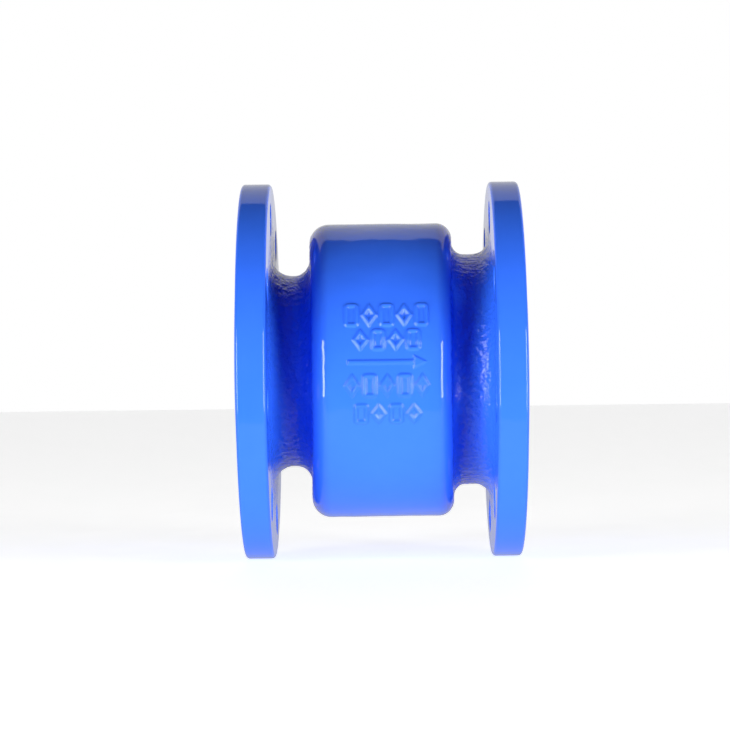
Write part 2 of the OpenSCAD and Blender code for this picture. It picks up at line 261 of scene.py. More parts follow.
def bar(name, x1, x2, r, y=0.0, z=0.0, columns=64):
    """A plain round bar along X, for cutting with."""
    verts, faces = turned([(x1, 0), (x1, r), (x2, r), (x2, 0)], even_angles(columns))
    return without_loose(new_piece(name, [Vector(v) + Vector((0, y, z)) * MM for v in verts], faces))


def block(name, low, high):
    """A plain block between two corners in millimetres, for cutting with."""
    shape = bmesh.new()
    bmesh.ops.create_cube(shape, size=1)
    for v in shape.verts:
        v.co = Vector([(lo + hi) / 2 + c * (hi - lo) for lo, hi, c in zip(low, high, v.co)]) * MM
    mesh = bpy.data.meshes.new(name)
    shape.to_mesh(mesh)
    shape.free()
    piece = bpy.data.objects.new(name, mesh)
    bpy.context.scene.collection.objects.link(piece)
    return piece


def softened(name, node, voxel, rounds, rough=0.0, grain=3.0):
    """A copy of a CAD node with its edges and inner corners softened, as on a casting or a stamping."""
    piece = bpy.data.objects.new(name, frame["nodes"][node].data.copy())
    bpy.context.scene.collection.objects.link(piece)
    weld = piece.modifiers.new("weld", "WELD")
    weld.merge_threshold = 0.002 * MM
    remesh = piece.modifiers.new("remesh", "REMESH")
    remesh.mode, remesh.voxel_size = "VOXEL", voxel * MM
    smooth = piece.modifiers.new("smooth", "SMOOTH")
    smooth.factor, smooth.iterations = 0.5, rounds
    applied(piece)
    mesh = piece.data
    if rough:
        places, normals = (np.zeros(len(mesh.vertices) * 3) for _ in range(2))
        mesh.vertices.foreach_get("co", places)
        mesh.vertices.foreach_get("normal", normals)
        places, normals = places.reshape(-1, 3), normals.reshape(-1, 3)
        for place, normal in zip(places, normals):
            here = Vector(place / MM)
            place += normal * MM * rough * (noise.noise(here / grain) + noise.noise(here / grain * 4) / 2)
        mesh.vertices.foreach_set("co", places.ravel())
        mesh.update()
    mesh.polygons.foreach_set("use_smooth", [True] * len(mesh.polygons))
    return piece


def swept(name, path, wire_r, sides=16):
    """A round wire along a path of points in millimetres, with closed rounded ends."""
    points = [Vector(p) for p in path]
    side = None
    verts, rings = [], []
    ends = [0.35, 0.75, 0.95]
    widths = [math.sqrt(1 - (1 - e) ** 2) for e in ends]
    caps = list(zip(ends, widths))
    first, last = (points[1] - points[0]).normalized(), (points[-1] - points[-2]).normalized()
    stations = [(points[0] - first * wire_r * (1 - e), w) for e, w in caps]
    stations += [(p, 1.0) for p in points]
    stations += [(points[-1] + last * wire_r * (1 - e), w) for e, w in reversed(caps)]
    for i, (place, width) in enumerate(stations):
        ahead = (stations[min(i + 1, len(stations) - 1)][0] - stations[max(i - 1, 0)][0]).normalized()
        if side is None:
            side = ahead.orthogonal().normalized()
        side = (side - ahead * side.dot(ahead)).normalized()
        other = ahead.cross(side)
        rings.append(len(verts))
        verts += [(place + (side * math.cos(a) + other * math.sin(a)) * wire_r * width) * MM
                  for a in even_angles(sides)]
    faces = [(rings[i] + k, rings[i] + (k + 1) % sides, rings[i + 1] + (k + 1) % sides, rings[i + 1] + k)
             for i in range(len(rings) - 1) for k in range(sides)]
    faces += [tuple(reversed(range(sides))), tuple(rings[-1] + k for k in range(sides))]
    return new_piece(name, verts, faces)


def cord(name, x, r, cord_r, columns, steps=28):
    """An O-ring of a round cord, turned about the flow axis."""
    outline = [(x - cord_r * math.cos(math.tau * k / steps), r + cord_r * math.sin(math.tau * k / steps))
               for k in range(steps)]
    return new_piece(name, *turned(outline, even_angles(columns)))


# ---- Body casting ----

def box_distance(x, z, w, h):
    dx, dz = np.abs(x) - w / 2, np.abs(z) - h / 2
    return np.hypot(np.maximum(dx, 0), np.maximum(dz, 0)) + np.minimum(np.maximum(dx, dz), 0)


def frame_distance(x, z, w, h):
    """An upright frame whose corners are a little rounded."""
    corner = 1.2
    middle = box_distance(x, z, w - MARK_STROKE - 2 * corner, h - MARK_STROKE - 2 * corner) - corner
    return np.abs(middle) - MARK_STROKE / 2


def lozenge_distance(x, z, w, h, hole=0.45):
    slope = (w * h / 4) / math.hypot(w / 2, h / 2)
    out = (np.abs(x) / (w / 2) + np.abs(z) / (h / 2) - 1) * slope
    gap = (np.abs(x) / (w / 2) + np.abs(z) / (h / 2) - hole) * slope
    return np.maximum(out, -gap)


def arrow_distance(x, z, length, shaft, head):
    body = box_distance(x + head / 2, z, length - head, shaft)
    tip = np.maximum(length / 2 - head - x, (np.abs(z) - (length / 2 - x) / 2) / math.hypot(1, 0.5))
    return np.minimum(body, tip)


def marks_distance(x, z):
    """Distance from the raised marks' edges, negative inside them: an arrow and rows of plain shapes."""
    step, w = 9.8, 7.8
    nearest = arrow_distance(x, z, 44.0, MARK_STROKE + 0.2, 7.0)
    for count, up, h, first in ((5, 26.5, 13, 0), (4, 12.5, 12, 1), (5, -13, 13, 1), (4, -28.5, 11, 0)):
        for i in range(count):
            across = x - (i - (count - 1) / 2) * step
            if (i + first) % 2 == 0:
                nearest = np.minimum(nearest, frame_distance(across, z - up, w, h))
            else:
                nearest = np.minimum(nearest, lozenge_distance(across, z - up, w + 1, h))
    return nearest


def smooth_step(value):
    value = np.clip(value, 0, 1)
    return value * value * (3 - 2 * value)


def draft(x, r, angle):
    """Shift along X of the chamber's end walls, which lean in towards the front and back of the mould."""
    lean, inner_x, outer_x, inner_r = 2.3, 22, 52, 57
    away = np.abs(x)
    on_wall = smooth_step((away - inner_x) / 16) * smooth_step((outer_x - away) / 8)
    on_wall = on_wall * smooth_step((r - inner_r) / 10)
    outside = r > np.where(x < 0, INLET_NECK_R, OUTLET_NECK_R) - 0.5
    return np.where(outside, -np.sign(x) * lean * on_wall * np.abs(np.cos(angle)), 0)


def swell(here, waves):
    """A sum of soft noises, each given as (height, length)."""
    return sum(height * noise.noise(here / length) for height, length in waves)


def casting_push(x, r, angle):
    """How far the cast surface stands off its true outline, and its shift along X."""
    soft, plain_rim = 1.25, 6
    cast_waves, neck_waves = ((0.26, 24), (0.08, 7)), ((0.2, 3.4), (0.12, 1.9))
    turn = angle - math.radians(MARK_TURN)
    facing = (np.cos(turn) > 0.5) & (r > CHAMBER_R - 0.01)
    z = CHAMBER_R * np.sin(turn)
    mark = MARK_T * smooth_step((soft / 2 - marks_distance(x - MARK_X, z)) / soft)
    outside = (np.abs(x) < BACK_X + 0.5) & (r > np.where(x < 0, INLET_NECK_R, OUTLET_NECK_R) - 0.5)
    outside &= r < RIM_R - plain_rim
    neck = outside & (np.abs(x) > CHAMBER_X - 1) & (r < 84)
    rough = np.zeros_like(x)
    places = np.stack([x, r * np.cos(angle), r * np.sin(angle)], axis=-1)
    for i, j in zip(*np.nonzero(outside)):
        here = Vector(places[i, j])
        rough[i, j] = swell(here, cast_waves)
        if neck[i, j]:
            rough[i, j] += swell(here, neck_waves)
    edge = smooth_step((RIM_R - plain_rim - r) / 12)
    return np.where(facing, mark, 0) + rough * edge, draft(x, r, angle)


def casting_step(x, r):
    """Spacing of the outline's points: fine where the marks and the rough necks are."""
    fine, medium, coarse = 0.42, 0.8, 8.0
    if r > CHAMBER_R - 0.1 and abs(x - MARK_X) < 25:
        return fine
    if abs(x) < BACK_X + 0.1 and 55 < r < 87 and (abs(x) > CHAMBER_X - 0.1 or r > 80):
        return medium
    return coarse


def bolt_hole_cutters():
    """Cutters for the bolt holes, which flare at both ends so that the holes' rims come out rounded."""
    edge, past = 0.9, 2.0
    hole_r, half = BOLTS["hole_r_mm"], RIM_T / 2
    outline = [(-half - past, 0), (-half - past, hole_r + edge)]
    for side in (-1, 1):
        steps = 6
        for k in range(steps + 1):
            a = math.pi / 2 * (k if side < 0 else steps - k) / steps
            outline.append((side * (half - edge + edge * math.cos(a)), hole_r + edge * (1 - math.sin(a))))
    outline += [(half + past, hole_r + edge), (half + past, 0)]
    verts, faces = turned(outline, even_angles(64))
    all_verts, all_faces = [], []
    for side in (-1, 1):
        for k in range(BOLTS["count"]):
            a = math.radians(BOLT_TURN) + math.tau * (k + 0.5) / BOLTS["count"]
            middle = Vector((side * (RIM_X + BACK_X) / 2, -BOLTS["pcd_mm"] / 2 * math.cos(a),
                             BOLTS["pcd_mm"] / 2 * math.sin(a))) * MM
            all_faces += [tuple(v + len(all_verts) for v in f) for f in faces]
            all_verts += [Vector(v) + middle for v in verts]
    return without_loose(new_piece("bolt_hole_cutters", all_verts, all_faces))


def body_casting():
    edge, rim_edge, machined = 0.8, 2.0, 0.4
    # The guide cage's bore and shoulder, the retaining ring's groove, the cavity and the seat's recess
    cage_r, cage_x, shoulder_r = 60, 46, 57
    groove_r, groove_x1, groove_x2 = 62, 74, 78.15
    cavity_x, cavity_r = 33.7, 78
    seat_r, seat_x, throat_r, throat_x = 56.5, 40, 48, 56
    corners = [
        (-FACE_X, PORT_R, edge), (-FACE_X, RAISED_R, edge), (-RIM_X, RAISED_R, edge),
        (-RIM_X, RIM_R, rim_edge), (-BACK_X, RIM_R, rim_edge),
        (-BACK_X, INLET_NECK_R, INLET_FLANGE_FILLET), (-CHAMBER_X, INLET_NECK_R, INLET_CHAMBER_FILLET),
        (-CHAMBER_X, CHAMBER_R, INLET_EDGE), (CHAMBER_X, CHAMBER_R, OUTLET_EDGE),
        (CHAMBER_X, OUTLET_NECK_R, OUTLET_CHAMBER_FILLET), (BACK_X, OUTLET_NECK_R, OUTLET_FLANGE_FILLET),
        (BACK_X, RIM_R, rim_edge), (RIM_X, RIM_R, rim_edge),
        (RIM_X, RAISED_R, edge), (FACE_X, RAISED_R, edge), (FACE_X, cage_r, edge),
        (groove_x2, cage_r, machined), (groove_x2, groove_r, machined),
        (groove_x1, groove_r, machined), (groove_x1, cage_r, machined),
        (cage_x, cage_r, machined), (cage_x, shoulder_r, machined), (cavity_x, shoulder_r, 2),
        (cavity_x, cavity_r, 8), (-cavity_x, cavity_r, 8), (-cavity_x, seat_r, 2),
        (-seat_x, seat_r, machined), (-seat_x, throat_r, machined), (-throat_x, PORT_R, 3),
    ]
    outline = divided(rounded(corners, 0.75), casting_step)
    # Fine columns on the side that carries the marks
    fine, coarse, half = 0.28, 0.9, 33.0
    angles = list(np.radians(np.arange(MARK_TURN - half, MARK_TURN + half, fine)))
    rest = np.linspace(MARK_TURN + half, MARK_TURN + 360 - half, int((360 - 2 * half) / coarse), endpoint=False)
    angles += list(np.radians(rest))
    body = new_piece("cast_body", *turned(outline, angles, casting_push))
    return cut(body, bolt_hole_cutters())


# ---- Seat and what holds it ----

def seat_cutters():
    """The two lock screws' holes and the four notches for the fitting key."""
    tools = [bar("lock_hole", -38, -30, 2, y=side * LOCK_R, columns=32) for side in (-1, 1)]
    for k in range(4):
        notch = block("notch", (-35, -2.5, 53.5), (-30, 2.5, 59.5))
        notch.data.transform(Matrix.Rotation(math.radians(45 + 90 * k), 4, "X"))
        tools.append(notch)
    return tools


def seat_ring():
    back, out = -39.98, 56.48
    ring = lathed("turned_seat", [
        (back, 48, 0.3), (back, 51.6, 0.15), (-37.36, 51.6, 0.2), (-37.36, 54.8, 0.2), (back, 54.8, 0.15),
        (back, out, 0.3), (-32.5, out, 0.3), (-32.5, 51.4, 0.4), (-31, 50.6, 0.3), (-31, 48.8, 0.3),
        (-31.8, 48, 0.3)], columns=180)
    return cut(ring, *seat_cutters())


def seat_o_ring():
    return cord("seat_cord", -38.68, 53.2, 1.3, 180)


def socket_screw(name, x1, x2, r, head=None, socket_r=1.1, socket_depth=2.0):
    """A screw along X whose socket opens towards -X or, with no head, towards +X.
    The head is given as (radius, height)."""
    if head is None:
        screw = lathed(name, [(x1, 0, 0), (x1, r, 0.3), (x2, r, 0.3), (x2, 0, 0)],
                       columns=48, arc_step=0.08)
        socket = (x2 - socket_depth, x2 + 1)
    else:
        head_r, height = head
        screw = lathed(name, [(x1 - height, 0, 0), (x1 - height, head_r, 0.7), (x1, head_r, 0.15),
                              (x1, r, 0.1), (x2, r, 0.3), (x2, 0, 0)], columns=64, arc_step=0.1)
        socket = (x1 - height - 1, x1 - height + socket_depth)
    return cut(screw, bar("socket", socket[0], socket[1], socket_r, columns=6))


def seat_lock_screws():
    return copies_around("lock_screws", socket_screw("lock_screw", -38, -33.5, 1.98), 2, LOCK_R, 90)


# ---- Guide cage and what is fixed to it ----

def bush(name, x1):
    bore_r, out_r, length = 8.05, 10.48, 12
    return lathed(name, [(x1, bore_r, 0.5), (x1, out_r, 0.8), (x1 + length, out_r, 0.3),
                         (x1 + length, bore_r, 0.5)], columns=96)


def stop_ring():
    front, back, in_r, out_r, crown = 6.3, 10.48, 23.6, 26.4, 1.35
    return lathed("moulded_stop", [(front, in_r, crown), (front, out_r, crown), (back, out_r, 0.1),
                                   (back, in_r, 0.1)])


def tail_cap():
    """A ball end with a flat on either side, a spigot and a drain hole."""
    ball_x, ball_r, bore_r, drain_r, steps = 60.0, 18.0, 9.0, 2.0, 40
    last = math.asin(drain_r / ball_r)
    ball = [(ball_x + ball_r * math.sin(a), ball_r * math.cos(a))
            for a in np.linspace(0.03, math.pi / 2 - last - 0.02, steps)]
    outline = [(50, bore_r, 0.3), (50, 11.98, 0.6), (ball_x, 11.98, 0.2), (ball_x, ball_r, 0)]
    outline += [(x, r, 0) for x, r in ball]
    outline += [(ball_x + ball_r * math.cos(last), drain_r, 0), (75, drain_r, 0), (75, bore_r, 0)]
    flat, past = 15, 25
    flats = [block("flat", (55, low, -past), (85, high, past)) for low, high in ((-past, -flat), (flat, past))]
    return cut(lathed("turned_tail_cap", outline), *flats)


# ---- Return spring ----

def return_spring():
    """A helix with closed ends, ground flat where it bears on the cup and on the washer."""
    wire_r, coil_r, active, ground = 1.3, 17.8, 6, 0.78
    x1, x2 = -17.48, 39.98
    closed = 1.06 * 2 * wire_r
    pitch = (x2 - x1 - 2 * ground - 2 * closed) / active
    steps, sides, turns = 72, 20, active + 2
    verts, faces = [], []
    for i in range(turns * steps + 1):
        t = i / steps
        x = x1 + ground + closed * (min(t, 1) + max(0, t - 1 - active)) + pitch * min(max(t - 1, 0), active)
        a = math.tau * t
        for b in even_angles(sides):
            r = coil_r + wire_r * math.cos(b)
            along = min(max(x + wire_r * math.sin(b), x1), x2)
            verts.append(Vector((along, r * math.sin(a), r * math.cos(a))) * MM)
    rings = turns * steps
    for i in range(rings):
        for k in range(sides):
            k2 = (k + 1) % sides
            faces.append((i * sides + k, (i + 1) * sides + k, (i + 1) * sides + k2, i * sides + k2))
    faces += [tuple(range(sides)), tuple(reversed(range(rings * sides, rings * sides + sides)))]
    return evenly_shaded(new_piece("coiled_spring", verts, faces), 60)


def spring_seat_washer():
    back, front, bore_r, out_r = -18.98, -17.5, 14.06, 21.5
    return lathed("spring_washer_ring", [(back, bore_r, 0.25), (back, out_r, 0.35), (front, out_r, 0.35),
                                         (front, bore_r, 0.25)], arc_step=0.08)


# ---- Disc, stem and what is clamped to them ----

def clamp_cutters(r, x1, x2):
    """The holes of the clamp screws."""
    turns = [math.radians(CLAMP_TURN + 360 * k / CLAMP_COUNT) for k in range(CLAMP_COUNT)]
    return [bar("clamp_hole", x1, x2, r, y=-CLAMP_R * math.sin(a), z=CLAMP_R * math.cos(a), columns=32)
            for a in turns]


def valve_disc():
    disc = lathed("turned_disc", [
        (-28.6, 6.02, 0.2), (-28.6, 9.4, 0.2), (-31, 9.4, 0.2), (-31, 42, 0.2), (-25, 42, 0.2),
        (-25, 54, 0.2), (-28.5, 54, 0.2), (-28.5, 55.5, 0.3), (-23, 55.5, 1.0), (-19, 26, 2.0), (-19, 14, 0.03),
        (-12, 14, 0.8), (-12, 8.02, 0.2), (-14, 8.02, 0.1), (-14, 6.02, 0.1)], columns=180)
    return cut(disc, *clamp_cutters(2.5, -32, -22))


def disc_seal():
    return lathed("moulded_seal", [(-30.95, 42.02, 0.3), (-30.95, 53.98, 0.9), (-25.02, 53.98, 0.3),
                                   (-25.02, 42.02, 0.3)], columns=180)


def seal_clamp_plate():
    plate = lathed("turned_clamp_plate", [
        (-39, 6.02, 0.4), (-39, 17, 0.8), (-35, 22, 2.0), (-35, 44.5, 0.4), (-33.5, 46, 0.4),
        (-31.02, 46, 0.2), (-31.02, 6.02, 0.2)], columns=180)
    return cut(plate, *clamp_cutters(2.75, -36, -30))


def clamp_screws():
    screw = socket_screw("clamp_screw", -36, -23, 2.48, head=(4.25, 5), socket_r=2.3, socket_depth=2.8)
    return copies_around("cap_screws", screw, CLAMP_COUNT, CLAMP_R, CLAMP_TURN)


def clamp_screw_washers():
    back, front, bore_r, out_r = -35.98, -35.02, 2.6, 4.6
    ring = lathed("washer", [(back, bore_r, 0.1), (back, out_r, 0.2), (front, out_r, 0.15),
                             (front, bore_r, 0.1)], columns=64, arc_step=0.08)
    return copies_around("small_washers", ring, CLAMP_COUNT, CLAMP_R, CLAMP_TURN)


def stem():
    """A ground rod, stepped down at the disc and threaded under the nut."""
    tip, shank_r, stem_r, pitch, crests = -53.5, 6.0, 8.0, 1.75, 9
    outline = [(tip, 0, 0), (tip, shank_r - 0.7, 0.2)]
    for k in range(crests):
        x = tip + 1 + k * pitch
        outline += [(x - pitch * 0.35, shank_r, 0.08), (x, shank_r - 0.5, 0.08),
                    (x + pitch * 0.35, shank_r, 0.08)]
    outline += [(-14, shank_r, 0.2), (-14, stem_r, 0.2), (48, stem_r, 0.4), (49, stem_r - 1, 0.3),
                (49, 0, 0)]
    rod = lathed("ground_stem", outline, columns=96, arc_step=0.12)
    pin_hole = bar("pin_hole", -8, 8, 1.5, columns=32)
    pin_hole.data.transform(Matrix.Translation((PIN_X * MM, 0, 0)) @ Matrix.Rotation(math.pi / 2, 4, "Y"))
    return cut(rod, pin_hole)


def stem_o_ring():
    return cord("stem_cord", -29.81, 7.25, 1.15, 96)


def stem_nut_washer():
    back, front, bore_r, out_r = -40.98, -39.02, 6.3, 12
    return lathed("nut_washer_ring", [(back, bore_r, 0.3), (back, out_r, 0.4), (front, out_r, 0.3),
                                      (front, bore_r, 0.2)], arc_step=0.1)


def stem_nut():
    """A castle nut: a chamfered hexagon and a crown with six slots."""
    base, shoulder, top, across = -41.0, -48.0, -52.0, 18.0
    corner_r = across / 2 / math.cos(math.radians(30))
    face_r, past_r, chamfer, crown_r = across / 2 - 0.2, corner_r + 0.1, 0.8, across / 2 - 0.6
    hexagon = bar("castle_nut", shoulder, base, corner_r, columns=6)
    chamfered = lathed("chamfer", [(shoulder, 0, 0), (shoulder, face_r, 0), (shoulder + chamfer, past_r, 0),
                                   (base - chamfer, past_r, 0), (base, face_r, 0), (base, 0, 0)])
    nut = cut(hexagon, chamfered, operation="INTERSECT")
    crown = lathed("crown", [(top, 0, 0), (top, crown_r, 0.5), (shoulder + 1, crown_r, 0),
                             (shoulder + 1, 0, 0)])
    cut(nut, crown, operation="UNION")
    tools = [bar("bore", top - 1, base + 1, 6.02, columns=96)]
    for k in range(3):
        slot = block("slot", (top - 1, -1.7, -20), (top + 4, 1.7, 20))
        slot.data.transform(Matrix.Rotation(math.radians(60 * k), 4, "X"))
        tools.append(slot)
    return cut(nut, *tools)


def split_pin():
    """One length of wire: up through the stem, round an eye, back down, and both legs bent outwards."""
    reach, wire_r, eye_r, leg, splay = 10.4, 0.62, 2.6, 5.4, math.radians(115)
    along = [(-0.65, z) for z in np.linspace(-reach, reach, 30)]
    gap = math.asin(0.65 / eye_r)
    eye = [(eye_r * math.cos(a), reach + eye_r + eye_r * math.sin(a))
           for a in np.linspace(-math.pi / 2 - gap, -math.pi * 5 / 2 + gap, 60)]
    # Each bent leg leaves the hole through a small arc
    bend_r = 1.1
    bend = [(-0.65 - bend_r + bend_r * math.cos(a), -reach - bend_r * math.sin(a))
            for a in np.linspace(0.1, splay - math.pi / 3.2, 8)]
    away = Vector((bend[-1][0] - bend[-2][0], bend[-1][1] - bend[-2][1])).normalized()
    tip = (bend[-1][0] + away.x * leg, bend[-1][1] + away.y * leg)
    first = [tip] + list(reversed(bend)) + along
    path = first + eye[1:-1] + [(-y, z) for y, z in reversed(first)]
    return swept("bent_pin", [(PIN_X, y, z) for y, z in path], wire_r)


# ---- Materials ----

class Nodes:
    """Short names for building one material's nodes."""

    def __init__(self, name):
        self.material = bpy.data.materials.new(name)
        self.material.use_nodes = True
        self.tree = self.material.node_tree
        self.shader = self.tree.nodes["Principled BSDF"]
        self.place = self.tree.nodes.new("ShaderNodeTexCoord").outputs["Object"]

    def link(self, output, socket):
        self.tree.links.new(output, socket)

    def set(self, **values):
        for name, value in values.items():
            self.shader.inputs[name.replace("_", " ")].default_value = value

    def math(self, operation, a, b=None, clamp=False):
        node = self.tree.nodes.new("ShaderNodeMath")
        node.operation, node.use_clamp = operation, clamp
        for socket, value in zip(node.inputs, (a, b)):
            if hasattr(value, "links"):
                self.link(value, socket)
            elif value is not None:
                socket.default_value = value
        return node.outputs[0]

    def noise(self, scale, detail=3.0, roughness=0.5, vector=None):
        node = self.tree.nodes.new("ShaderNodeTexNoise")
        node.inputs["Scale"].default_value = scale
        node.inputs["Detail"].default_value = detail
        node.inputs["Roughness"].default_value = roughness
        self.link(vector or self.place, node.inputs["Vector"])
        return node.outputs["Fac"]

    def ramp(self, value, low, high, out_low=0.0, out_high=1.0):
        node = self.tree.nodes.new("ShaderNodeMapRange")
        limits = {"From Min": low, "From Max": high, "To Min": out_low, "To Max": out_high}
        for name, number in limits.items():
            node.inputs[name].default_value = number
        self.link(value, node.inputs["Value"])
        return node.outputs["Result"]

    def colours(self, value, first, second):
        node = self.tree.nodes.new("ShaderNodeMix")
        node.data_type = "RGBA"
        self.link(value, node.inputs["Factor"])
        for name, colour in (("A", first), ("B", second)):
            socket = [s for s in node.inputs if s.name == name and s.type == "RGBA"][0]
            if hasattr(colour, "links"):
                self.link(colour, socket)
            else:
                socket.default_value = (*colour, 1)
        return [s for s in node.outputs if s.type == "RGBA"][0]

    def axis_place(self):
        """The distance from the flow axis and the place along it, as outputs."""
        parts = self.tree.nodes.new("ShaderNodeSeparateXYZ")
        self.link(self.place, parts.inputs[0])
        x, y, z = parts.outputs
        square = self.math("ADD", self.math("MULTIPLY", y, y), self.math("MULTIPLY", z, z))
        return self.math("SQRT", square), x

    def vector(self, x, y, z=0.0):
        node = self.tree.nodes.new("ShaderNodeCombineXYZ")
        for socket, value in zip(node.inputs, (x, y, z)):
            if hasattr(value, "links"):
                self.link(value, socket)
            else:
                socket.default_value = value
        return node.outputs[0]

    def bump(self, height, distance, strength=1.0, under=None):
        node = self.tree.nodes.new("ShaderNodeBump")
        node.inputs["Distance"].default_value = distance
        node.inputs["Strength"].default_value = strength
        self.link(height, node.inputs["Height"])
        if under is not None:
            self.link(under, node.inputs["Normal"])
        return node.outputs["Normal"]

    def finish(self, colour, roughness, normal):
        self.link(colour, self.shader.inputs["Base Color"])
        self.link(roughness, self.shader.inputs["Roughness"])
        self.link(normal, self.shader.inputs["Normal"])
        return self.material


def blue_coating():
    """Glossy epoxy over sand-cast iron: even on the barrel, pimpled in the necks and less so in the bores,
    ringed on the machined faces."""
    n = Nodes("blue_coating")
    r, x = n.axis_place()
    away = n.math("ABSOLUTE", x)
    between_flanges = n.math("MULTIPLY", n.ramp(away, 0.038, 0.043), n.ramp(away, 0.067, 0.064))
    in_neck = n.math("MULTIPLY", between_flanges, n.ramp(r, 0.09, 0.074))
    inside = n.math("MULTIPLY", n.ramp(r, 0.0625, 0.0615), n.ramp(away, 0.0815, 0.078))
    cast = n.math("MAXIMUM", in_neck, n.math("MULTIPLY", inside, 0.5))
    machined = n.math("MULTIPLY", n.ramp(away, 0.0815, 0.0823), n.ramp(r, 0.0782, 0.0775))
    cloud = n.noise(28, 4, 0.6)
    pool = n.noise(9, 2, 0.5)
    shade = n.colours(n.ramp(cloud, 0.3, 0.7), (0.027, 0.137, 0.80), (0.031, 0.145, 0.84))
    colour = n.colours(n.ramp(pool, 0.55, 0.8, 0, 0.5), shade, (0.024, 0.127, 0.76))
    gloss = n.ramp(n.noise(160, 3, 0.6), 0.3, 0.7, 0.04, 0.085)
    peel = n.bump(n.noise(230, 2, 0.5), 0.0005, 0.09)
    sag = n.bump(n.noise(60, 1, 0.4), 0.002, 0.05, peel)
    ripple = n.bump(n.math("MULTIPLY", n.noise(340, 2, 0.5), cast), 0.0018, 0.6, sag)
    pimples = n.bump(n.math("MULTIPLY", n.noise(900, 2, 0.6), cast), 0.0007, 0.3, ripple)
    rings = n.math("MULTIPLY", n.math("SINE", n.math("MULTIPLY", r, math.tau / 0.0008)), machined)
    normal = n.bump(rings, 0.00006, 0.8, pimples)
    n.set(IOR=1.5)
    return n.finish(colour, gloss, normal)


def turned_metal(name, dark, light, rough, line=0.00006):
    """Metal turned on a lathe: fine rings round the flow axis."""
    n = Nodes(name)
    r, x = n.axis_place()
    rings = n.noise(9000, 2, 0.6, n.vector(r, x))
    stain = n.noise(45, 4, 0.6)
    colour = n.colours(n.ramp(stain, 0.3, 0.75), dark, light)
    gloss = n.ramp(n.math("ADD", rings, stain), 0.6, 1.4, rough * 0.75, rough * 1.35)
    n.set(Metallic=1.0)
    return n.finish(colour, gloss, n.bump(rings, line, 0.6))


def plain_metal(name, dark, light, rough, grain=700, depth=0.00012):
    """Formed or plated metal with a fine grain and faint stains."""
    n = Nodes(name)
    stain = n.noise(120, 4, 0.65)
    fine = n.noise(grain, 3, 0.6)
    colour = n.colours(n.ramp(stain, 0.3, 0.7), dark, light)
    gloss = n.ramp(fine, 0.3, 0.7, rough * 0.8, rough * 1.3)
    n.set(Metallic=1.0)
    return n.finish(colour, gloss, n.bump(fine, depth, 0.35))


def rubber():
    n = Nodes("rubber")
    fine = n.noise(1400, 3, 0.6)
    dust = n.noise(70, 4, 0.6)
    colour = n.colours(n.ramp(dust, 0.45, 0.8), (0.012, 0.012, 0.013), (0.03, 0.03, 0.031))
    return n.finish(colour, n.ramp(dust, 0.3, 0.7, 0.5, 0.68), n.bump(fine, 0.0001, 0.4))


MATERIALS = {
    "blue_coating": blue_coating(),
    "stainless": turned_metal("stainless", (0.46, 0.46, 0.47), (0.6, 0.6, 0.6), 0.24),
    "cast_stainless": turned_metal("cast_stainless", (0.4, 0.4, 0.4), (0.56, 0.56, 0.55), 0.32, 0.0001),
    "stem_steel": turned_metal("stem_steel", (0.55, 0.55, 0.56), (0.66, 0.66, 0.66), 0.14, 0.00003),
    "bronze": turned_metal("bronze", (0.46, 0.26, 0.09), (0.62, 0.38, 0.15), 0.3),
    "screw_steel": plain_metal("screw_steel", (0.45, 0.45, 0.46), (0.62, 0.62, 0.62), 0.25),
    "zinc_steel": plain_metal("zinc_steel", (0.4, 0.4, 0.42), (0.58, 0.58, 0.6), 0.38),
    "spring_steel": plain_metal("spring_steel", (0.05, 0.052, 0.058), (0.1, 0.1, 0.11), 0.42),
    "spring_wire": plain_metal("spring_wire", (0.42, 0.42, 0.44), (0.55, 0.55, 0.57), 0.22),
    "rubber": rubber(),
}
SLOT_OF = {s["node"]: s["material_slot"] for s in frame["record"]["subparts"]}


def finish_as(piece, slot):
    """Gives the piece the slot's material, in place of any it has."""
    piece.data.materials.clear()
    piece.data.materials.append(MATERIALS[slot])
    piece.data.polygons.foreach_set("material_index", [0] * len(piece.data.polygons))


def stand_in(piece, node, body):
    """The piece is shown in place of a CAD node, and moves with its body."""
    finish_as(piece, SLOT_OF[node])
    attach(piece, body)
    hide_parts(node)


# ---- Camera, light and floor ----

def camera():
    """Level with the flow axis and square to it, on the side of the marks, turned a little about its own
    line of sight."""
    distance, lens, lean = 1.5, 125.5, -0.70
    data = bpy.data.cameras.new("camera")
    data.lens, data.sensor_width = lens, 36
    data.shift_x, data.shift_y = -0.023, 0.007
    data.clip_end = 100
    cam = bpy.data.objects.new("camera", data)
    cam.matrix_world = (Matrix.Translation((0, -distance, 0)) @ Matrix.Rotation(math.pi / 2, 4, "X")
                        @ Matrix.Rotation(math.radians(lean), 4, "Z"))
    bpy.context.scene.collection.objects.link(cam)
    bpy.context.scene.camera = cam


def soft_box(name, place, size, power, highlights=True):
    """A rectangular light that faces the valve's middle."""
    data = bpy.data.lights.new(name, "AREA")
    data.shape, data.size, data.size_y, data.energy = "RECTANGLE", size[0], size[1], power
    light = bpy.data.objects.new(name, data)
    light.location = place
    light.rotation_euler = (-Vector(place)).to_track_quat("-Z", "Y").to_euler()
    light.visible_glossy = highlights
    bpy.context.scene.collection.objects.link(light)


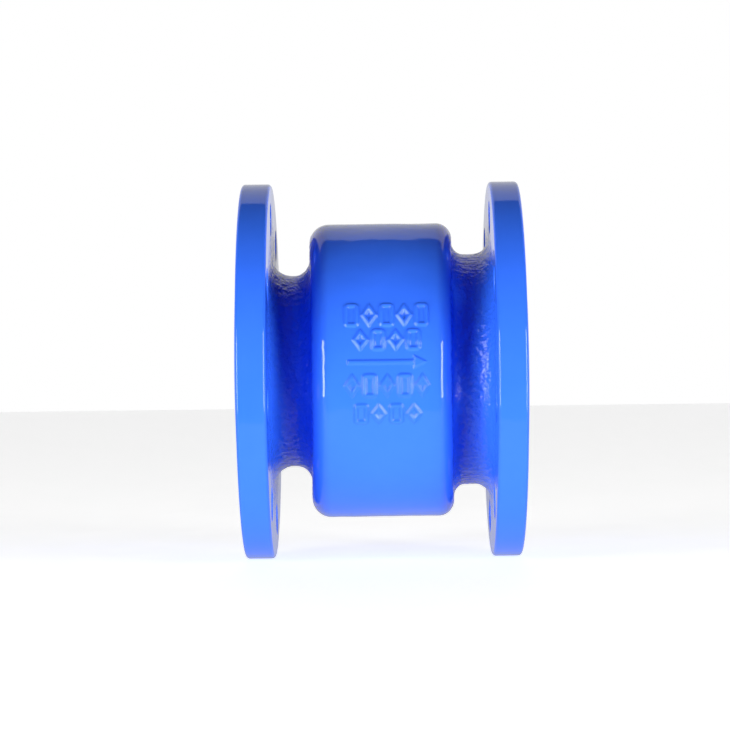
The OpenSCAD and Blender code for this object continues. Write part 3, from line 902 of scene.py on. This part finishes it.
def world():
    """A pale room: a white sweep behind the valve, a pale table under it that ends in front, and a dim room
    beyond. The camera itself sees plain white."""
    sweep_slope, sweep_half_width = 1.48, 2.0
    table_edge_slope = 0.6
    # Each surface's brightness in reflections, and how much light it gives the valve
    sweep_level, table_level, room_level = (0.72, 0.05), (0.5, 0.35), (0.08, 0.02)
    room = bpy.data.worlds.new("room")
    room.use_nodes = True
    tree = room.node_tree
    tree.nodes.clear()

    def add(kind):
        return tree.nodes.new(kind)

    def maths(operation, a, b=0.0):
        node = add("ShaderNodeMath")
        node.operation = operation
        for socket, value in zip(node.inputs, (a, b)):
            if hasattr(value, "links"):
                tree.links.new(value, socket)
            else:
                socket.default_value = value
        return node.outputs[0]

    place = add("ShaderNodeTexCoord")
    parts = add("ShaderNodeSeparateXYZ")
    tree.links.new(place.outputs["Generated"], parts.inputs[0])
    x, y, z = parts.outputs
    depth = maths("MAXIMUM", y, 0.001)
    low = maths("LESS_THAN", maths("DIVIDE", z, depth), sweep_slope)
    near = maths("LESS_THAN", maths("DIVIDE", maths("ABSOLUTE", x), depth), sweep_half_width)
    on_sweep = maths("MULTIPLY", maths("MULTIPLY", low, near), maths("GREATER_THAN", y, 0.0))
    on_table = maths("LESS_THAN", z, maths("MINIMUM", maths("MULTIPLY", y, table_edge_slope), 0.0))
    seen = add("ShaderNodeLightPath")
    lighting = seen.outputs["Is Diffuse Ray"]

    def level_of(levels):
        return maths("ADD", maths("MULTIPLY", lighting, levels[1] - levels[0]), levels[0])

    def choose(where, inside, outside):
        part = maths("MULTIPLY", where, maths("SUBTRACT", inside, outside))
        return maths("ADD", part, outside)

    above = choose(on_sweep, level_of(sweep_level), level_of(room_level))
    level = choose(on_table, level_of(table_level), above)
    strength = maths("MAXIMUM", level, seen.outputs["Is Camera Ray"])
    shader = add("ShaderNodeBackground")
    shader.inputs["Color"].default_value = (1, 1, 1, 1)
    tree.links.new(strength, shader.inputs["Strength"])
    tree.links.new(shader.outputs[0], add("ShaderNodeOutputWorld").inputs[0])
    bpy.context.scene.world = room


def floor():
    """A plain pale floor that the flange rims touch. It glows by itself and casts no shadow, and the table in
    the room's light stands in for it in reflections."""
    half = 6.0
    low = -RIM_R * MM
    corners = [(-half, -half, low), (half, -half, low), (half, half, low), (-half, half, low)]
    plane = new_piece("floor", corners, [(0, 1, 2, 3)], smooth=False)
    n = Nodes("pale_floor")
    speck = n.noise(30, 3, 0.5)
    plane.data.materials.append(n.finish(n.colours(speck, (0.88, 0.88, 0.885), (0.92, 0.92, 0.92)),
                                         n.ramp(speck, 0.3, 0.7, 0.55, 0.65), n.bump(speck, 0.0002, 0.1)))
    n.set(Emission_Color=(1, 1, 1, 1), Emission_Strength=0.75)
    plane.visible_glossy = plane.visible_diffuse = plane.visible_shadow = False


camera()
world()
floor()
LIGHT_ACROSS, LIGHT_Y, BOUNCE_Z = 1.5, -1.35, -1.15
for side in (-1, 1):
    soft_box(f"strip_light_{side + 2}", (side * LIGHT_ACROSS, LIGHT_Y, 0.0), (0.7, 1.4), 35)
    # In place of light that comes back off the table. It shines through the floor and gives no highlight
    soft_box(f"table_bounce_{side + 2}", (side * LIGHT_ACROSS, LIGHT_Y, BOUNCE_Z), (1.0, 1.0), 38,
             highlights=False)
bpy.context.scene.view_settings.view_transform = "Standard"

# Each new piece, the CAD node it stands for and the body it moves with
NEW_PIECES = [
    (body_casting(), "body_casting", "housing"),
    (seat_ring(), "seat_ring", "housing"),
    (seat_o_ring(), "seat_o_ring", "housing"),
    (seat_lock_screws(), "seat_lock_screws", "housing"),
    (softened("cast_cage", "guide_cage", 0.7, 5, rough=0.06), "guide_cage", "housing"),
    (softened("stamped_ring", "cage_retaining_ring", 0.3, 3), "cage_retaining_ring", "housing"),
    (bush("front_bearing", 14), "front_bush", "housing"),
    (bush("rear_bearing", 36), "rear_bush", "housing"),
    (stop_ring(), "stop_ring", "housing"),
    (tail_cap(), "tail_cap", "housing"),
    (return_spring(), "return_spring", "housing"),
    (spring_seat_washer(), "spring_seat_washer", "spring_washer"),
    (valve_disc(), "valve_disc", "disc"),
    (disc_seal(), "disc_seal", "disc"),
    (seal_clamp_plate(), "seal_clamp_plate", "disc"),
    (clamp_screws(), "clamp_screws", "disc"),
    (clamp_screw_washers(), "clamp_screw_washers", "disc"),
    (stem(), "stem", "disc"),
    (stem_o_ring(), "stem_o_ring", "disc"),
    (stem_nut(), "stem_nut", "disc"),
    (stem_nut_washer(), "stem_nut_washer", "disc"),
    (split_pin(), "split_pin", "disc"),
]
for piece, node, body in NEW_PIECES:
    stand_in(piece, node, body)
    if node == "return_spring":
        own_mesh(piece)
finish_as(frame["nodes"]["tail_cap_lock_screw"], SLOT_OF["tail_cap_lock_screw"])
